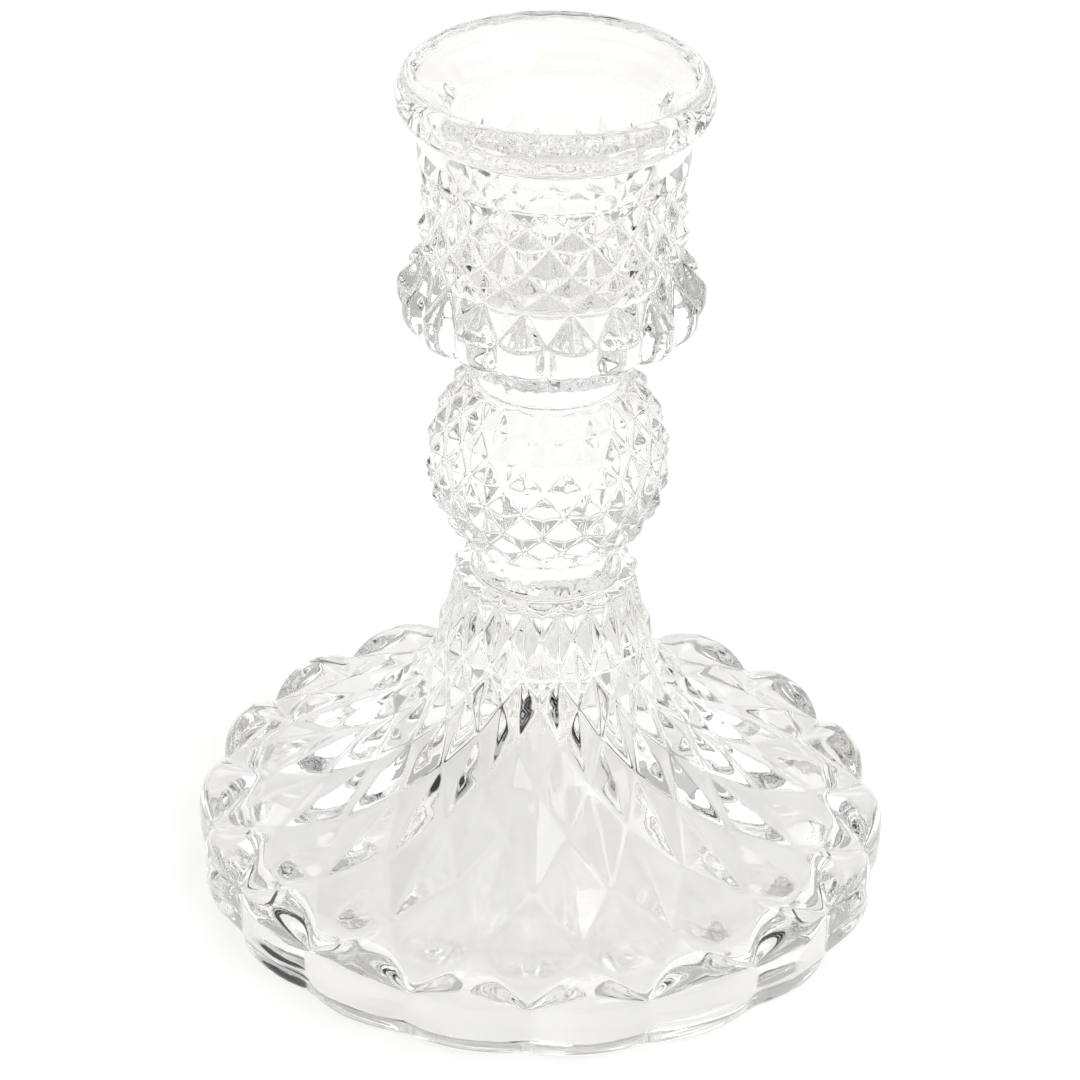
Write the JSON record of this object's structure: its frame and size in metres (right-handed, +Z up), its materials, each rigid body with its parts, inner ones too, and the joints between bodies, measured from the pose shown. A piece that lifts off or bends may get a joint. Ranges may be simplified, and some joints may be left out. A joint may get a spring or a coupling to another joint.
{
  "type": "candlestick",
  "caption": "Pressed clear glass candlestick with a scalloped hollow foot, a diamond-faceted knop and socket, a lobed drip collar and a flared lip.",
  "frame": {"origin": "centre of the foot where it stands on the table", "axes": "+Z up along the axis that the candle stands on, -Y towards a cusp of the scalloped foot"},
  "size_m": [0.0886, 0.0876, 0.11],
  "materials": {
    "clear_glass": "clear pressed soda-lime glass, fire polished, very slightly cool grey"
  },
  "bodies": {
    "root": {"foot_rim": "clear_glass", "foot_bell": "clear_glass", "foot_crown": "clear_glass", "lower_ring": "clear_glass", "knop": "clear_glass", "upper_ring": "clear_glass", "drip_collar": "clear_glass", "candle_cup": "clear_glass", "rim_lip": "clear_glass"}
  },
  "joints": []
}
